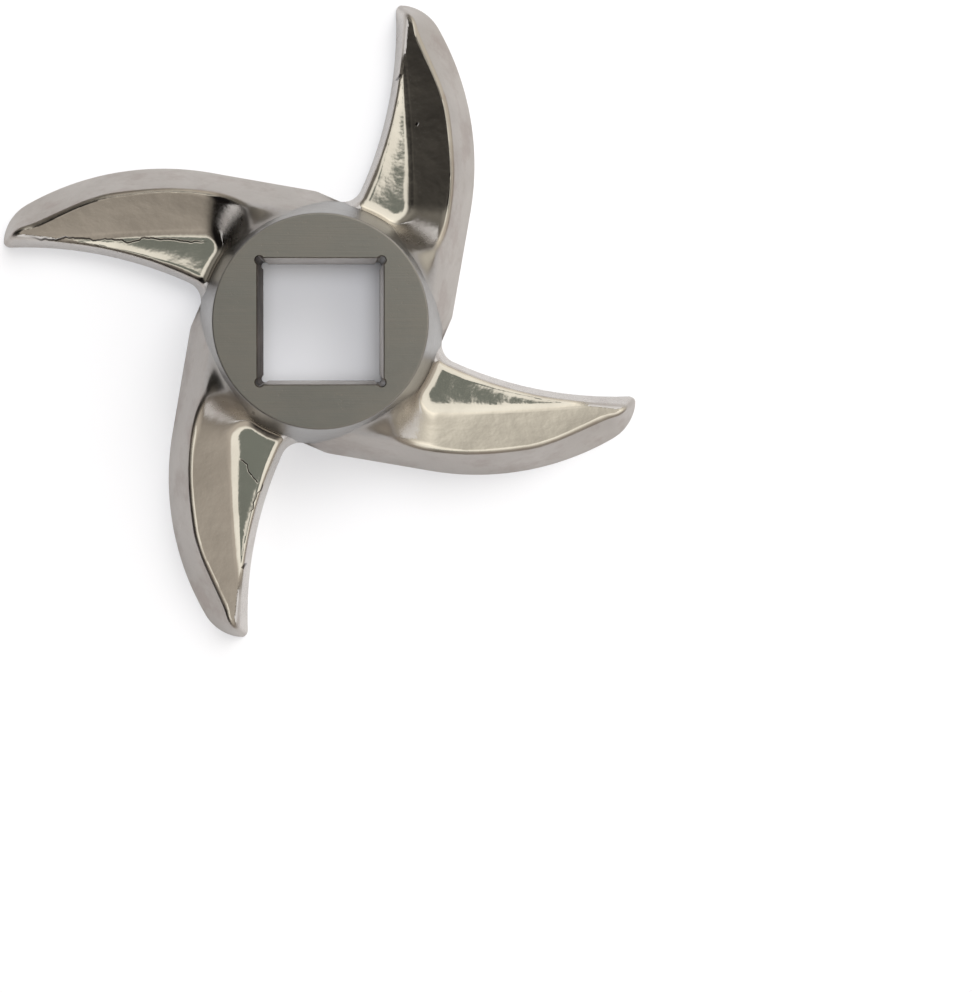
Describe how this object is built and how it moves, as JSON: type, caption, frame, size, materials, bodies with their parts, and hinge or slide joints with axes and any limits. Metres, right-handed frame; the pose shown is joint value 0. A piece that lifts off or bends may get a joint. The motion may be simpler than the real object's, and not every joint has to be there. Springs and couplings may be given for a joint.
{
  "type": "meat grinder knife",
  "caption": "Cast steel grinder knife: a hub with a square drive hole and curved, scooped arms, flat underneath.",
  "frame": {"origin": "centre of the square drive hole, in the plane of the flat underside", "axes": "+Z along the drive hole from the flat underside to the ground hub face, +Y the way one arm points, +X along one side of the square hole"},
  "size_m": [0.0734, 0.0734, 0.014],
  "materials": {
    "stainless_steel": "polished scoops, satin backs, ground hub face and underside"
  },
  "bodies": {
    "root": {"knife": "stainless_steel"}
  },
  "joints": []
}
